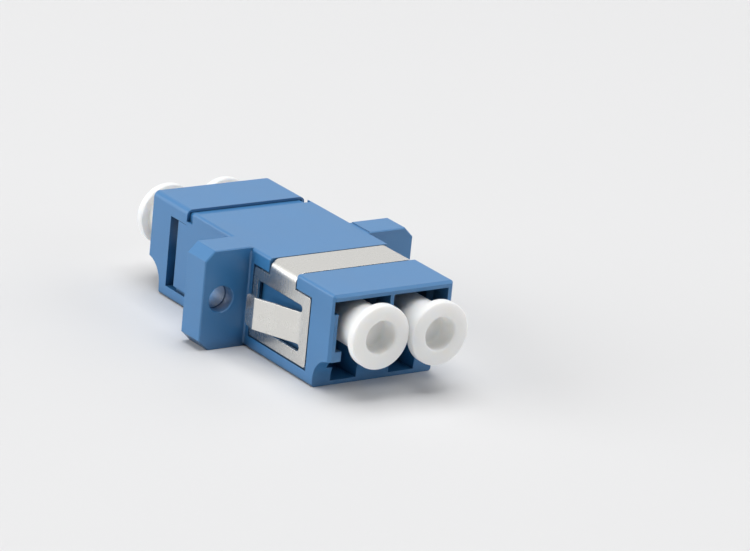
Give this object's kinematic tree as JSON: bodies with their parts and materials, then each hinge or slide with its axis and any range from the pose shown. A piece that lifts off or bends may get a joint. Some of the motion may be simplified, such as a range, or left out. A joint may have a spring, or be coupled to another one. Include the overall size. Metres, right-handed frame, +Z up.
{
  "type": "duplex LC fibre optic adapter with screw flange",
  "caption": "Duplex fibre optic adapter for LC plugs: blue rectangular body with a two-ear screw flange, a folded steel panel clip and white dust caps in the ports at both ends.",
  "frame": {"origin": "on the underside, below the middle of the flange's thickness and midway between the ports", "axes": "+X across the two ports, +Y along the fibres from the clip end to the collar end, +Z up, away from the latch side"},
  "size_m": [0.0226, 0.0371, 0.0095],
  "materials": {
    "blue_housing": "blue PBT with a fine satin mould texture",
    "clip_steel": "satin rolled stainless spring sheet",
    "holder_plastic": "plain moulded plastic, hidden inside",
    "zirconia": "ground zirconia, hidden inside",
    "white_cap": "soft white polyethylene, slightly waxy"
  },
  "bodies": {
    "adapter_body": {"main_housing": "blue_housing", "rear_housing": "blue_housing", "spring_clip": "clip_steel", "sleeve_holder_front": "holder_plastic", "sleeve_holder_rear": "holder_plastic", "split_sleeve_left": "zirconia", "split_sleeve_right": "zirconia"},
    "dust_cap_front_left": {"dust_cap_front_left": "white_cap"},
    "dust_cap_front_right": {"dust_cap_front_right": "white_cap"},
    "dust_cap_rear_left": {"dust_cap_rear_left": "white_cap"},
    "dust_cap_rear_right": {"dust_cap_rear_right": "white_cap"}
  },
  "joints": [
    {"name": "dust_cap_front_left_pull", "type": "slide", "parent": "adapter_body", "child": "dust_cap_front_left", "axis": [0, -1, 0], "range_m": [0, 0.01]},
    {"name": "dust_cap_front_right_pull", "type": "slide", "parent": "adapter_body", "child": "dust_cap_front_right", "axis": [0, -1, 0], "range_m": [-0.00035, 0.00965]},
    {"name": "dust_cap_rear_left_pull", "type": "slide", "parent": "adapter_body", "child": "dust_cap_rear_left", "axis": [0, 1, 0], "range_m": [0, 0.01]},
    {"name": "dust_cap_rear_right_pull", "type": "slide", "parent": "adapter_body", "child": "dust_cap_rear_right", "axis": [0, 1, 0], "range_m": [0, 0.01]}
  ]
}
